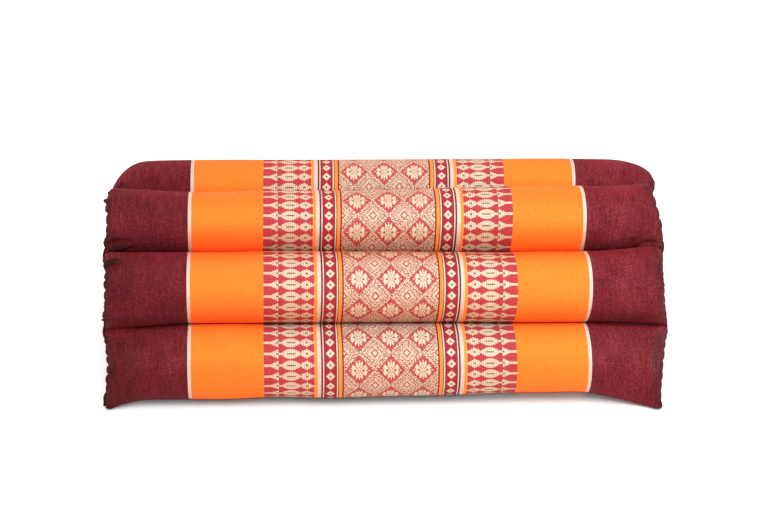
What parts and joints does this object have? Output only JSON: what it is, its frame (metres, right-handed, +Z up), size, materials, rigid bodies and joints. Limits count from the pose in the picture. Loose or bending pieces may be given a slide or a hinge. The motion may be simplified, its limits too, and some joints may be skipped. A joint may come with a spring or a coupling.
{
  "type": "meditation cushion",
  "caption": "Long low floor cushion of parallel stuffed rolls in a stepped bundle, with gathered ends and a woven pattern band across its middle.",
  "frame": {"origin": "middle of the underside, on the surface that the cushion lies on", "axes": "+X along the rolls, +Y to the back, +Z up"},
  "size_m": [0.53, 0.299, 0.169],
  "materials": {
    "cover_cloth": "matt woven cotton with a slight sheen on the plain ends"
  },
  "bodies": {
    "root": {"cushion": "cover_cloth"}
  },
  "joints": []
}
